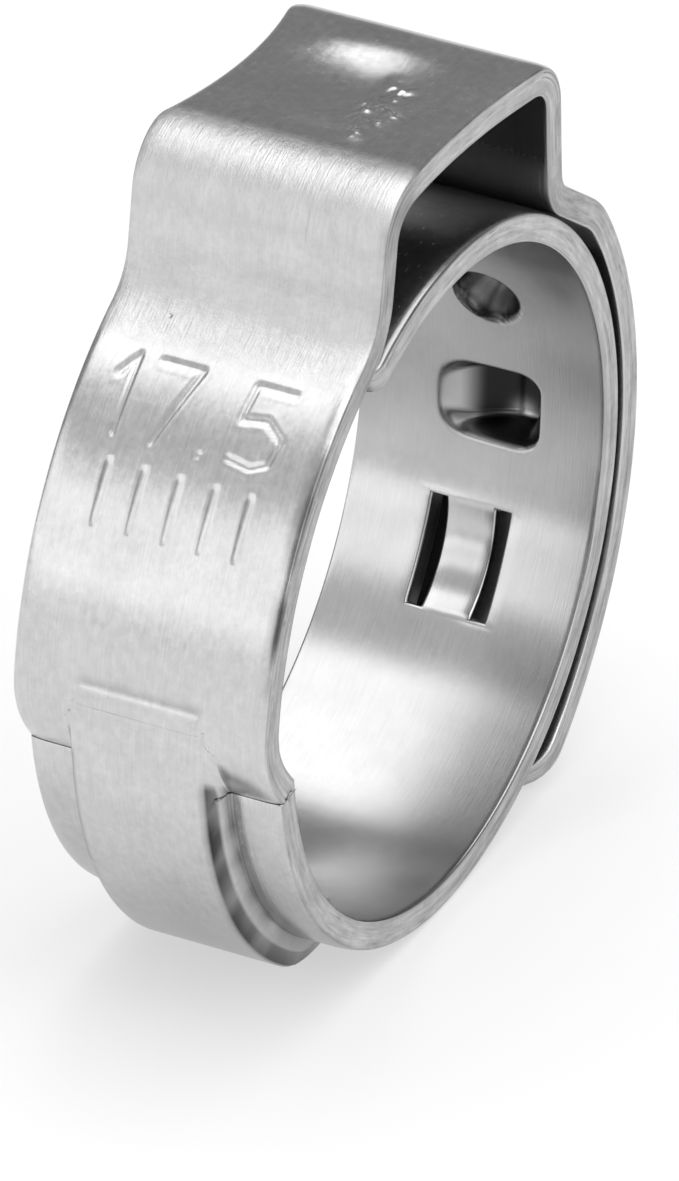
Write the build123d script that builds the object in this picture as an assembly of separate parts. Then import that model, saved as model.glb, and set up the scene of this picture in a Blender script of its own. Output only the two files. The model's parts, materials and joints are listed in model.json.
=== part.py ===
from build123d import *
import math
import os

# Single-ear stepless hose clamp: one stainless strip that wraps its own bore about one and two
# thirds times. Millimetres. Angles are in degrees, counted clockwise from the middle of the ear as
# seen from the opening at -Y, and they run on past 360 where the strip wraps over itself.

# The strip and the ring it closes
bore_radius = 8.75
strip_thickness = 0.8
strip_width = 7.0
lap_gap = 0.05

# The ear, all sizes inside the fold
ear_height = 3.3
ear_top_width = 8.2
ear_foot_angle = 27.0
ear_bend_radius = 0.85
ear_foot_radius = 1.6
near_waist_depth = 0.2
far_waist_depth = 0.4
ear_waist_length = 7.0
dimple_depth = 0.3
dimple_length = 4.8

# The inner run: tongue, shoulders and full-width band
tongue_tip_angle = -108.0
tongue_width = 3.0
tongue_tip_radius = 1.1
tongue_root = 1.0
shoulder_angle = -33.0
shoulder_radius = 0.5

# The groove that the tongue slides in, raised by one strip thickness between two side strips
groove_clearance = 0.15
groove_ramp_start = 195.0
groove_ramp_end = 210.0
side_step_start = 260.0
side_step_end = 271.0
groove_wall_land = 0.15
groove_wall_spread = 0.3

# The lap over the hooks: pinched down at the ear's foot, then sprung a little off the inner run
lap_foot_angle = 28.7
lap_foot_lift = 0.04
lap_foot_radius = 0.8
lap_rise_angle = 47.0
lap_rise_radius = 2.5
lap_gap_at_rise = 0.37
lap_gap_at_side = 0.33
lap_gap_at_end = 0.65
lap_side_angle = 90.0
free_end_angle = 146.5
free_end_radius = 1.3

# Hooks pressed outward from the inner run, and the windows that they stand in
hook_wall = 0.4
hook_rise = 0.95
hook_draft = 0.25
hook_fillet = 0.15
window_clearance = 0.12
window_slack = 0.9
window_radius = 0.4
boss_angle = 64.4
boss_offset = 0.35
boss_bore = 1.84
drawn_hook_angle = 88.0
drawn_hook_width = 2.9
drawn_hook_length = 2.3
drawn_hook_nose = 1.1
bridge_angle = 116.0
bridge_length = 2.9
bridge_crown = 1.3
bridge_width = 1.4
bridge_slit = 0.42
bridge_thickness = 0.55

half_width = strip_width / 2
half_tongue = tongue_width / 2
inner_face = bore_radius + strip_thickness
lap_radius = inner_face + lap_gap
ear_inside = bore_radius + ear_height
groove_half = half_tongue + groove_clearance
channel_half = groove_half + groove_wall_land


def polar(angle, radius):
    """The point at this clock angle and distance from the bore axis."""
    turn = math.radians(angle)
    return Vector(radius * math.sin(turn), radius * math.cos(turn), 0)


def along(angle):
    """The direction in which the strip runs on at this clock angle."""
    turn = math.radians(angle)
    return Vector(math.cos(turn), -math.sin(turn), 0)


def ramp_curve(start, end, start_radius, end_radius):
    """The smooth joggle that carries one face of the groove's roof up to the outer layer."""
    first = polar(start, start_radius)
    last = polar(end, end_radius)
    reach = (last - first).length / 2
    return Bezier(first, first + along(start) * reach, last - along(end) * reach, last)


def crease_curve(start, end, start_radius, end_radius):
    """The joggle that carries one face of a side strip up from a crease to the outer layer."""
    first = polar(start, start_radius)
    last = polar(end, end_radius)
    reach = (last - first).length / 3
    return Bezier(first, last - along(end) * reach, last)


def lap_arc(offset):
    """The flatter arc of the lap on the hook side, as its centre and its radius."""
    gaps = {lap_rise_angle: lap_gap_at_rise, lap_side_angle: lap_gap_at_side, free_end_angle: lap_gap_at_end}
    points = [polar(angle, inner_face + gap) for angle, gap in gaps.items()]
    arc = ThreePointArc(*points)
    return arc.arc_center, arc.radius + offset


def arc_about(centre, radius, start, end):
    """An arc about this centre between two points, which are first brought onto its circle."""
    first = centre + (start - centre).normalized() * radius
    last = centre + (end - centre).normalized() * radius
    middle = ((first - centre) + (last - centre)).normalized() * radius + centre
    return ThreePointArc(first, middle, last)


def lap_point(angle, offset):
    """The point of the lap towards this clock angle, on a line from the lap's own centre."""
    centre, radius = lap_arc(offset)
    return centre + (polar(angle, lap_radius) - centre).normalized() * radius


def outward(run):
    """The side of the strip that looks away from the bore, for a stretch that runs this way."""
    return Vector(-run.Y, run.X, 0)


def moved_out(corner, first_normal, last_normal, offset):
    """A corner of the bore-side line, moved out to the face this far from the bore side."""
    return corner + (first_normal + last_normal) * (offset / (1 + first_normal.dot(last_normal)))


def marked_leg(offset):
    """The landing on the ring and the top corner of the ear leg on the marked side."""
    top = Vector(-ear_top_width / 2, ear_inside, 0)
    run = (top - polar(-ear_foot_angle, lap_radius)).normalized()
    corner = moved_out(top, outward(run), Vector(0, 1, 0), offset)
    radius = lap_radius + offset
    half = run.dot(corner)
    landing = corner - run * (half - math.sqrt(half * half - corner.dot(corner) + radius * radius))
    return landing, corner


def lap_leg(offset):
    """The top corner and the foot of the ear leg on the lap side, and where the lap's arc begins."""
    centre, radius = lap_arc(offset)
    top = Vector(ear_top_width / 2, ear_inside, 0)
    foot = polar(lap_foot_angle, inner_face + lap_foot_lift)
    arc_start = lap_point(lap_rise_angle, 0)
    leg_side = outward((foot - top).normalized())
    rise_side = outward((arc_start - foot).normalized())
    arc_side = (arc_start - centre).normalized()
    moved_top = moved_out(top, Vector(0, 1, 0), leg_side, offset)
    moved_foot = moved_out(foot, leg_side, rise_side, offset)
    moved_start = moved_out(arc_start, rise_side, arc_side, offset)
    return moved_top, moved_foot, centre + (moved_start - centre).normalized() * radius


def strip_face_line(offset, step_curve, step_start, step_end):
    """One face of the strip, from the shoulders round to the free end, this far from the bore side."""
    inner_radius = bore_radius + offset
    outer_radius = lap_radius + offset
    lap_centre, lap_round = lap_arc(offset)
    left_foot, left_top = marked_leg(offset)
    right_top, right_foot, arc_start = lap_leg(offset)
    half_way = (shoulder_angle + step_start) / 2
    inner_run = ThreePointArc(
        polar(shoulder_angle, inner_radius), polar(half_way, inner_radius), polar(step_start, inner_radius)
    )
    step = step_curve(step_start, step_end, inner_radius, outer_radius)
    marked_side = arc_about(Vector(0, 0, 0), outer_radius, polar(step_end, 1), left_foot)
    ear = Polyline(left_foot, left_top, right_top, right_foot, arc_start)
    lap = arc_about(lap_centre, lap_round, arc_start, lap_point(free_end_angle, offset))
    line = Wire([inner_run, step, marked_side, *ear.edges(), lap])
    for corner, radius in (
        (left_foot, ear_foot_radius + strip_thickness - offset),
        (left_top, ear_bend_radius + offset),
        (right_top, ear_bend_radius + offset),
        (right_foot, lap_foot_radius + strip_thickness - offset),
        (arc_start, lap_rise_radius + offset),
    ):
        line = line.fillet_2d(radius, [line.vertices().sort_by_distance(corner)[0]])
    return line


def strip_slab(step_curve, step_start, step_end, low, high):
    """The folded strip between two heights across its width."""
    bore_line = strip_face_line(0, step_curve, step_start, step_end)
    outer_line = strip_face_line(strip_thickness, step_curve, step_start, step_end)
    ends = [Line(bore_line @ 0, outer_line @ 0), Line(bore_line @ 1, outer_line @ 1)]
    section = make_face(Wire.combine([*bore_line.edges(), *outer_line.edges(), *ends])[0])
    return Pos(0, 0, low) * extrude(section, high - low, dir=(0, 0, 1))


def both_sides(slab):
    """A slab and its mirror image across the middle of the strip's width."""
    return [slab, mirror(slab, Plane.XY)]


def ring_sector(start, end, profile):
    """A closed outline across the strip, as (radius, width) points, swept round the bore axis."""
    outline = Plane.YZ * make_face(Polyline(*profile, close=True))
    return Rot(0, 0, -start) * revolve(outline, Axis.Z, -(end - start))


def round_corners(strip, end_middle, half, radius):
    """The strip with the two corners rounded that stand this far out from the middle of an end."""
    corners = [end_middle + Vector(0, 0, side * half) for side in (-1, 1)]
    return fillet([strip.edges().sort_by_distance(corner)[0] for corner in corners], radius)


def tongue():
    """The narrow tongue ahead of the shoulders, with its rounded tip."""
    profile = [
        (bore_radius, -half_tongue),
        (inner_face, -half_tongue),
        (inner_face, half_tongue),
        (bore_radius, half_tongue),
    ]
    blade = ring_sector(tongue_tip_angle, shoulder_angle + tongue_root, profile)
    tip = polar(tongue_tip_angle, bore_radius + strip_thickness / 2)
    return round_corners(blade, tip, half_tongue, tongue_tip_radius)


def groove_wall():
    """The drawn wall that joins the raised groove roof to the side strip below it."""
    foot = channel_half + groove_wall_spread
    middle = bore_radius + strip_thickness / 2
    roof = lap_radius + strip_thickness
    profile = [
        (middle, groove_half),
        (middle, foot),
        (inner_face, foot),
        (roof, channel_half),
        (roof, groove_half),
    ]
    return ring_sector(groove_ramp_end, side_step_end, profile)


def waist_cutter(depth):
    """The round cutter that draws one edge of the ear top in by this much."""
    chord = ear_waist_length / 2
    radius = (chord * chord + depth * depth) / (2 * depth)
    place = Pos(0, ear_inside, half_width - depth + radius) * Rot(90, 0, 0)
    return place * Cylinder(radius, 2 * strip_thickness + 2 * ear_bend_radius)


def ear_dimple():
    """The round pan pressed into the ear top: what it takes off above and what it adds below."""
    chord = dimple_length / 2
    radius = (chord * chord + dimple_depth * dimple_depth) / (2 * dimple_depth)
    above = Pos(0, ear_inside + strip_thickness - dimple_depth + radius, 0)
    pan = above * Sphere(radius)
    below = above * Sphere(radius + strip_thickness)
    slab = Pos(0, ear_inside, 0) * Box(dimple_length, strip_thickness, strip_width)
    return pan, below & slab


def wrap_plane(angle, radius, offset=0):
    """A plane on the band: x runs along the strip, y across it and z outward from the bore."""
    origin = polar(angle, radius) + Vector(0, 0, offset)
    return Plane(origin=origin, x_dir=along(angle), z_dir=polar(angle, 1))


def boss():
    """The round pressed boss: its outer form and the pocket behind it."""
    top = strip_thickness + hook_rise
    base_radius = boss_bore / 2 + hook_wall
    outer = extrude(Circle(base_radius), top, taper=math.degrees(math.atan(hook_draft / top)))
    outer = fillet(outer.edges().group_by(Axis.Z)[-1], hook_fillet)
    depth = top - hook_wall - hook_fillet
    pocket = extrude(Circle(boss_bore / 2), depth, taper=math.degrees(math.atan(hook_draft / depth)))
    place = wrap_plane(boss_angle, bore_radius, boss_offset).location
    return place * outer, place * pocket


def scoop(length, width, depth, nose):
    """A drawn scoop that rises from its round nose to a steep face."""
    reach = length / 2
    ramp = Polyline((-reach, 0), (reach, 0), (reach - hook_draft, depth), (0, depth), close=True)
    body = extrude(Plane.XZ * make_face(ramp), width / 2, both=True)
    footprint = fillet(Rectangle(length, width).vertices().group_by(Axis.X)[0], nose)
    return body & extrude(footprint, depth)


def drawn_hook():
    """The deep-drawn hook, steep towards the near edge: its outer form and the pocket behind it."""
    top = strip_thickness + hook_rise
    outer = scoop(
        drawn_hook_width + 2 * hook_wall, drawn_hook_length + 2 * hook_wall, top, drawn_hook_nose + hook_wall
    )
    pocket = scoop(drawn_hook_width, drawn_hook_length, top - hook_wall - hook_fillet, drawn_hook_nose)
    place = wrap_plane(drawn_hook_angle, bore_radius).location * Rot(0, 0, -90)
    return place * outer, place * pocket


def bridge():
    """The bridge hook, slit free along both sides: its arch and the opening that it spans."""
    top = strip_thickness + hook_rise
    reach = bridge_length / 2
    rise = top - bridge_thickness
    slope = bridge_crown / 2
    arch = Polyline(
        (-reach - hook_wall, 0),
        (-reach, 0),
        (-slope, rise),
        (slope, rise),
        (reach, 0),
        (reach + hook_wall, 0),
        (reach + hook_wall, strip_thickness),
        (slope + hook_wall / 2, top),
        (-slope - hook_wall / 2, top),
        (-reach - hook_wall, strip_thickness),
        close=True,
    )
    place = wrap_plane(bridge_angle, bore_radius).location
    strap = extrude(Plane.XZ * make_face(arch), bridge_width / 2, both=True)
    opening = Box(bridge_length, bridge_width + 2 * bridge_slit, 2 * strip_thickness + hook_rise)
    return place * strap, place * opening


def window(angle, offset, length, width):
    """The cutter for a window in the lap, close behind its hook and slack on the ear side."""
    long = length + window_slack + window_clearance
    shift = window_clearance - window_slack
    place = wrap_plane(angle, inner_face, offset)
    outline = fillet(Rectangle(long, width + 2 * window_clearance).vertices(), window_radius)
    cutter = extrude(Pos(shift / 2, 0) * outline, lap_gap_at_end + 2 * strip_thickness)
    return place.location * Pos(0, 0, lap_gap) * cutter


def clamp_band():
    """The whole folded strip, with the ear up and the middle of its width on the bore's centre."""
    centre = strip_slab(ramp_curve, groove_ramp_start, groove_ramp_end, -channel_half, channel_half)
    sides = both_sides(strip_slab(crease_curve, side_step_start, side_step_end, groove_half, half_width))
    band = centre + sides
    shoulder = polar(shoulder_angle, bore_radius + strip_thickness / 2)
    band = round_corners(band, shoulder, half_width, shoulder_radius)
    band = round_corners(band, lap_point(free_end_angle, strip_thickness / 2), half_width, free_end_radius)
    band = band + tongue() + both_sides(groove_wall())
    band = band - waist_cutter(near_waist_depth) - mirror(waist_cutter(far_waist_depth), Plane.XY)
    pan, belly = ear_dimple()
    band = band + belly - pan
    lap_windows = [
        window(boss_angle, boss_offset, boss_bore + 2 * hook_wall, boss_bore + 2 * hook_wall),
        window(drawn_hook_angle, 0, drawn_hook_length + 2 * hook_wall, drawn_hook_width + 2 * hook_wall),
        window(bridge_angle, 0, bridge_length + 2 * hook_wall, bridge_width),
    ]
    band = band - lap_windows
    boss_form, boss_pocket = boss()
    hook_form, hook_pocket = drawn_hook()
    strap, opening = bridge()
    band = band - opening
    band = band + boss_form + hook_form + strap
    return band - boss_pocket - hook_pocket


def standing_turn():
    """How far the ear leans when the band stands on its round and on the tip of its free end."""
    tip = lap_point(free_end_angle, strip_thickness)
    tip_angle = math.degrees(math.atan2(tip.X, tip.Y))
    reach = math.degrees(math.acos(inner_face / tip.length))
    return tip_angle + reach - 180


def main():
    upright = Rot(90, 0, 0) * Rot(0, 0, standing_turn())
    os.makedirs("parts", exist_ok=True)
    export_step(upright * clamp_band(), "parts/clamp_band.step")


main()
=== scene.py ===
import itertools
import json
import math

import bmesh
import bpy
from mathutils import Matrix, Vector, noise


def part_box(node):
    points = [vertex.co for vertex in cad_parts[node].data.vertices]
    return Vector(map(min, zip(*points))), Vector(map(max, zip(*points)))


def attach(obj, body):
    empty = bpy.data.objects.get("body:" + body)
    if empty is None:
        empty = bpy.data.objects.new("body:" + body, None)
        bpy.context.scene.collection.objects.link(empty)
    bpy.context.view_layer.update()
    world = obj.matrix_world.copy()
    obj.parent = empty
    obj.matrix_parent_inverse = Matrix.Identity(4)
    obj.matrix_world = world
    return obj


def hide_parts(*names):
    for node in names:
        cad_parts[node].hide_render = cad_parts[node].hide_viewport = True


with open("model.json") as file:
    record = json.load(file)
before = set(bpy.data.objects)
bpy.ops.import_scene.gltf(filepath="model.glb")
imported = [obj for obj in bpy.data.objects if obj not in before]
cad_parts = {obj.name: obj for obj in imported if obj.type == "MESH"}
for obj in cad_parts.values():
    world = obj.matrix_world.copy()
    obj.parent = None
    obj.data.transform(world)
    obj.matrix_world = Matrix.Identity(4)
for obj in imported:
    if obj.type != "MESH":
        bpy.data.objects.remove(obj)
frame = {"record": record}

bl_info = {
    "name": "Ear Hose Clamp",
    "version": (1, 0, 0),
    "blender": (4, 5, 0),
    "location": "3D View > Sidebar > Ear Clamp",
    "description": "Folds a stepless single-ear hose clamp from one stainless strip",
    "category": "Add Mesh",
}

MM = 0.001
OUTER, BORE, SHEARED = 0, 1, 2
CAD_NODE = "clamp_band"
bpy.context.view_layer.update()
BOX_LOW, BOX_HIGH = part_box(CAD_NODE)
BORE_MOUNT = next(mount for mount in frame["record"]["mounts"] if mount["name"] == "bore")


def length_property(name, description, millimetres):
    """A size that a user may change, given in millimetres and kept in metres."""
    return bpy.props.FloatProperty(
        name=name, description=description, default=millimetres * MM, precision=5, unit="LENGTH"
    )


def angle_property(name, description, degrees):
    """A clock angle or a lean, given in degrees and kept in radians."""
    return bpy.props.FloatProperty(
        name=name, description=description, default=math.radians(degrees), unit="ROTATION"
    )


def share_property(name, description, value):
    """A plain number, such as a roughness or a strength."""
    return bpy.props.FloatProperty(name=name, description=description, default=value, subtype="FACTOR")


def colour_property(name, description, colour):
    """A colour that a user may change."""
    return bpy.props.FloatVectorProperty(
        name=name, description=description, default=colour, size=3, min=0, max=1, subtype="COLOR"
    )


class ClampSizes(bpy.types.PropertyGroup):
    """The sizes that the strip is folded to."""

    bore_radius: length_property("Bore radius", "Radius of the round bore", BORE_MOUNT["dims"]["r_mm"])
    strip_thickness: length_property("Strip thickness", "Thickness of the steel strip", 0.8)
    strip_width: length_property(
        "Strip width", "Full width of the strip along the bore", (BOX_HIGH.y - BOX_LOW.y) / MM
    )
    lap_gap: length_property("Lap gap", "Play between the inner run and what lies on it", 0.05)
    edge_round: length_property("Edge round", "Rounding of the sheared edges", 0.08)
    ear_height: length_property("Ear height", "Inside height of the ear above the bore", 3.3)
    ear_top_width: length_property("Ear top width", "Width of the ear inside its fold", 8.2)
    ear_foot_angle: angle_property("Ear foot angle", "Place of the ear's foot on the ring", 27.0)
    ear_bend_radius: length_property("Ear bend radius", "Inside radius of the ear's top bends", 0.85)
    ear_foot_radius: length_property("Ear foot radius", "Outside radius where a leg meets the ring", 1.6)
    near_waist_depth: length_property("Near waist", "How far the ear top's near edge is drawn in", 0.2)
    far_waist_depth: length_property("Far waist", "How far the ear top's far edge is drawn in", 0.4)
    ear_waist_length: length_property("Ear waist length", "Length of the drawn-in stretch", 7.0)
    dimple_depth: length_property("Dimple depth", "Depth of the pan pressed into the ear", 0.42)
    dimple_length: length_property("Dimple length", "Diameter of the pan pressed into the ear", 5.2)
    dimple_shift: length_property("Dimple shift", "How far the pan's deepest place lies past the middle", 0.8)
    wrinkle_height: length_property("Wrinkle height", "Height of the wrinkle left in the pan", 0.09)
    tongue_tip_angle: angle_property("Tongue tip angle", "Where the tongue ends inside the groove", -108.0)
    tongue_width: length_property("Tongue width", "Width of the narrow tongue", 3.0)
    tongue_tip_radius: length_property("Tongue tip radius", "Corner radius of the tongue's tip", 1.1)
    shoulder_angle: angle_property("Shoulder angle", "Where the tongue widens to the full strip", -33.0)
    shoulder_radius: length_property("Shoulder radius", "Corner radius of the shoulders", 0.5)
    groove_clearance: length_property("Groove clearance", "Play beside the tongue in its groove", 0.15)
    groove_wall_land: length_property("Groove wall land", "Thickness of the groove's walls at the top", 0.15)
    groove_wall_spread: length_property("Groove wall spread", "How far the walls spread to their feet", 0.3)
    roof_swell: length_property("Roof swell", "How far the groove's roof swells below its lip", 0.13)
    roof_lip_angle: angle_property("Roof lip angle", "Where the swollen roof ends in a fine lip", 273.5)
    groove_ramp_start: angle_property("Groove ramp start", "Where the groove's roof starts to rise", 195.0)
    groove_ramp_end: angle_property("Groove ramp end", "Where the groove's roof is at its height", 210.0)
    side_step_start: angle_property("Side step start", "Where the side strips start to rise", 260.0)
    side_step_end: angle_property("Side step end", "Where the side strips meet the roof", 271.0)
    lap_foot_angle: angle_property("Lap foot angle", "Place of the lap's pinched foot", 28.7)
    lap_foot_lift: length_property("Lap foot lift", "Height of the foot's corner over the inner run", 0.04)
    lap_foot_radius: length_property("Lap foot radius", "Outside radius of the lap's foot", 0.8)
    lap_rise_angle: angle_property("Lap rise angle", "Where the lap's rise ends in its arc", 47.0)
    lap_rise_radius: length_property("Lap rise radius", "Inside radius at the end of the rise", 2.5)
    lap_gap_at_rise: length_property("Lap gap at the rise", "Spring of the lap after its rise", 0.37)
    lap_gap_at_side: length_property("Lap gap at the side", "Spring of the lap at three o'clock", 0.33)
    lap_gap_at_end: length_property("Lap gap at the end", "Spring of the lap at its free end", 0.65)
    lap_side_angle: angle_property("Lap side angle", "Where the middle spring of the lap is given", 90.0)
    free_end_angle: angle_property("Free end angle", "Where the lap ends", 146.5)
    free_end_radius: length_property("Free end radius", "Corner radius of the free end", 1.3)
    hook_wall: length_property("Hook wall", "Drawn wall round a hook's pocket", 0.4)
    hook_rise: length_property("Hook rise", "How far the hooks stand out of the strip", 0.95)
    hook_draft: length_property("Hook draft", "How far a hook's walls lean in", 0.25)
    hook_fillet: length_property("Hook fillet", "Rounding on top of a hook", 0.15)
    window_clearance: length_property("Window clearance", "Play round a hook in its window", 0.12)
    window_slack: length_property("Window slack", "Free length of a window towards the ear", 0.9)
    window_radius: length_property("Window radius", "Corner radius of the windows", 0.4)
    boss_angle: angle_property("Boss angle", "Place of the round boss", 64.4)
    boss_offset: length_property("Boss offset", "How far the boss lies off the middle", 0.35)
    boss_bore: length_property("Boss bore", "Diameter of the boss's pocket", 1.84)
    drawn_hook_angle: angle_property("Drawn hook angle", "Place of the drawn hook", 88.0)
    drawn_hook_width: length_property("Drawn hook width", "Width of the drawn hook's pocket", 2.9)
    drawn_hook_length: length_property("Drawn hook length", "Length of the drawn hook's pocket", 2.3)
    drawn_hook_nose: length_property("Drawn hook nose", "Corner radius of the drawn hook's ramp", 1.1)
    bridge_angle: angle_property("Bridge angle", "Place of the bridge hook", 116.0)
    bridge_length: length_property("Bridge length", "Length of the opening under the bridge", 2.9)
    bridge_crown: length_property("Bridge crown", "Length of the bridge's flat crown", 1.3)
    bridge_width: length_property("Bridge width", "Width of the bridge's strap", 1.4)
    bridge_slit: length_property("Bridge slit", "Width of the slits beside the strap", 0.42)
    strap_sink: length_property("Strap sink", "How far the strap's bore side arches away", 0.3)
    pocket_round: length_property("Pocket round", "Rounding where a pocket starts", 0.30)
    edge_drop: length_property("Edge drop", "How far the outer face rolls over at its edges", 0.06)
    edge_drop_width: length_property("Edge drop width", "Width of the rolled-over stretch", 0.40)
    mark_depth: length_property("Mark depth", "Depth of the stamped marks", 0.035)
    mark_width: length_property("Mark width", "Width of a stamped stroke", 0.24)
    mark_angle: angle_property("Mark angle", "Foot of the stamped number", 308.0)
    mark_height: length_property("Mark height", "Height of the stamped number along the strip", 1.75)
    tick_angle: angle_property("Tick angle", "Foot of the row of stamped strokes", 295.5)
    tick_height: length_property("Tick height", "Height of the stamped strokes", 1.3)
    unevenness: length_property("Unevenness", "Height of the strip's faint waves", 0.012)


class ClampFinish(bpy.types.PropertyGroup):
    """The colours and gloss of the steel and of the stage."""

    steel: colour_property("Steel", "Colour of the mill finish", (0.63, 0.63, 0.63))
    bore_steel: colour_property("Bore steel", "Colour of the bore side", (0.62, 0.62, 0.62))
    sheared_steel: colour_property("Sheared steel", "Colour of the sheared edges", (0.48, 0.48, 0.48))
    face_roughness: share_property("Face roughness", "Roughness of the outer face", 0.25)
    bore_roughness: share_property("Bore roughness", "Roughness of the bore side", 0.26)
    edge_roughness: share_property("Edge roughness", "Roughness of the sheared edges", 0.34)
    floor: colour_property("Floor", "Colour of the floor", (0.92, 0.92, 0.92))
    floor_glow: share_property("Floor glow", "Share of plain white in the floor as seen", 0.50)
    room: colour_property("Room", "Colour of the room above the horizon", (0.26, 0.26, 0.26))


class ViewSizes(bpy.types.PropertyGroup):
    """Where the camera stands."""

    azimuth: angle_property("Azimuth", "Turn of the camera about the part, from its near opening", -63.54)
    elevation: angle_property("Elevation", "Height of the camera above the floor", 31.78)
    roll: angle_property("Roll", "Turn of the camera about its own axis", -0.65)
    distance: length_property("Distance", "Distance from the camera to the part", 350.0)
    aim: bpy.props.FloatVectorProperty(
        name="Aim", description="Point that the camera looks at", size=3, subtype="XYZ",
        default=(-0.36 * MM, -0.50 * MM, -0.88 * MM), precision=5, unit="LENGTH",
    )
    lens: bpy.props.FloatProperty(
        name="Lens", description="Focal length in millimetres on a 36 mm high frame", default=425.2
    )


# ---------------------------------------------------------------- values of the fine detail


def millimetres(*values):
    """Lengths given in millimetres, in metres."""
    return tuple(value * MM for value in values)


def degrees(*values):
    """Clock angles from the top given in degrees, in radians."""
    return tuple(math.radians(value) for value in values)


# The grid: steps round a corner, lines near the rims, how far below the roof's lip it gets finer, a
# hair's breadth, and where the loops between a block's border and an outline lie, in shares
CORNER_STEPS = 8
RIM_LINES = millimetres(2.45, 2.8, 3.1, 3.3)
LIP_LINE, HAIR = millimetres(0.8, 0.01)
LOOP_SHARES = (0.4, 0.75)

# The search for an outline's edge: how far out it starts and how often it halves the way. Then a
# length squared that counts as nothing
REACH_MOST, REACH_HALVINGS = 6 * MM, 28
TINY = 1e-12

# The finer steps of the reliefs, and the room that they leave round their forms
POCKET_STEP, MARK_STEP, WRINKLE_STEP = millimetres(0.075, 0.07, 0.06)
WINDOW_ROOM, BOSS_ROOM, DRAWN_HOOK_ROOM, MARK_ROOM = millimetres(0.45, 1.65, 2.1, 0.3)
MARK_REACH = 3.1 * MM

# Across a groove wall, in shares of its spread: place and height left of the roof's rise
WALL_STEPS = ((0.0, 1.0), (0.18, 0.92), (0.38, 0.5), (0.62, 0.43), (0.8, 0.06), (1.0, -0.03), (1.35, 0.0))

# Down a sheared edge: share of the thickness, and how proud the ridge stands in millimetres
SHEAR_RIDGES = (
    (0.14, -0.004), (0.22, -0.03), (0.3, -0.012), (0.42, -0.026), (0.5, 0.0), (0.6, -0.022), (0.72, -0.006),
    (0.84, -0.02),
)
# The ridges' drift: noise cells per millimetre along and over the whole thickness, and its height in
# millimetres. Then how far outward the finish's place moves on its way down the edge, in shares of the
# thickness
SHEAR_CELLS, SHEAR_ROWS, SHEAR_DRIFT = 0.8, 9, 0.01
SHEAR_SLANT = 0.35

# The pan in the ear: how far it lies to the far side, what share of its shift its short end is
# shorter by, and the power by which its depth falls off
PAN_OFFSET = 0.2 * MM
PAN_SHORTENING = 0.7
PAN_FALL = 1.5

# The swell of the groove's roof: its fade at the walls, its rise from the lip and its fade below that
ROOF_WALL_FADE = millimetres(-0.25, 0.05)
ROOF_LIP_RISE = 0.3 * MM
ROOF_SWELL_FADE = millimetres(1.2, 5.5)

# Faint waves: cells per millimetre along and across, seed, and share of the height
WAVES = ((0.22, 0.3, 3.7, 1.0), (0.7, 0.6, 9.1, 0.35))

# How far from a bend the steel still counts as worked, on the ear's top and elsewhere
TOP_WORKED_FADE = millimetres(0, 0.45)
WORKED_FADE = millimetres(0.1, 1.0)

# Painted shade: how much darker the steel's colour is made in the hollow under the ear, on the walls of the
# windows, low on the outside, and on the upper and the near part of the bore, with the angles and widths that
# these fade over
HOLLOW_SHADE = 0.35
WINDOW_SHADE = 0.8
UNDERSIDE_SHADE, UNDERSIDE_FADE = 0.35, degrees(215, 266)
HIDDEN_RUN_END = math.radians(60)
BORE_TOP_SHADE, BORE_TOP_FADE = 0.3, degrees(88, 110)
BORE_NEAR_SHADE, BORE_NEAR_FADE, BORE_NEAR_ACROSS = 0.35, degrees(122, 138), millimetres(0.2, 2.6)

# The painted shade in the crease above the roof's lip: its place, width and fade at the walls
CREASE_SHADE = 0.28
CREASE_PLACE, CREASE_WIDTH, CREASE_FADE = millimetres(0.05, 0.09, 0.3)

# Painted shade along the near edge of the marked side: where it starts and ends along the ring and begins
# across the strip, and its patches as least, height, cells per millimetre and seed
NEAR_EDGE_SHADE = 0.8
NEAR_EDGE_START, NEAR_EDGE_END, NEAR_EDGE_RIM = degrees(276, 284), degrees(312, 322), millimetres(3.2, 3.45)
NEAR_EDGE_PATCHES, NEAR_EDGE_SEED = (0.55, 1.4, 1.3), (2.2, 7.7)

# Painted shade on the torn groove wall: its dark rim and foot as (middle, width, darkness) and the span that
# they lie in, all in shares of the wall's spread, where it ends along the ring, and its noise as cells per
# millimetre along and across, seed and height, with the most that it darkens
WALL_SHADE_RIM, WALL_SHADE_FOOT = (0.25, 0.25, 0.95), (0.95, 0.22, 0.85)
WALL_SHADE_SPAN, WALL_SHADE_END = (-0.1, 1.5), degrees(261.5, 263.5)
WALL_SHADE_CELLS, WALL_SHADE_SEED, WALL_SHADE_NOISE, WALL_SHADE_MOST = (1.6, 4.0), 5.5, 0.35, 0.95

# Where a pocket's wall and its painted shade start and end, outward from the outline in shares of the
# rounding
BOSS_POCKET_RIM = (0.1, -1.7)
DRAWN_POCKET_RIM, DRAWN_SHADE_RIM = (0.8, -1.3), (0.5, -0.7)

# The drawn hook: corner radii of its outside and its opening at the steep face, how much the opening is
# narrowed along the strip, and where its ramp ends, in shares of its width
DRAWN_TAIL_RADIUS, DRAWN_OPENING_TAIL_RADIUS = millimetres(0.18, 0.45)
DRAWN_NARROWING = 1.22
DRAWN_SLOPE_END = 0.25

# The painted shade round the rim of the boss's pocket: how dark, and over which distances from the outline it
# comes and goes
BOSS_RIM_SHADE, BOSS_RIM_RISE, BOSS_RIM_FALL = 0.9, millimetres(-0.2, -0.08), millimetres(0, 0.08)

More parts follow.
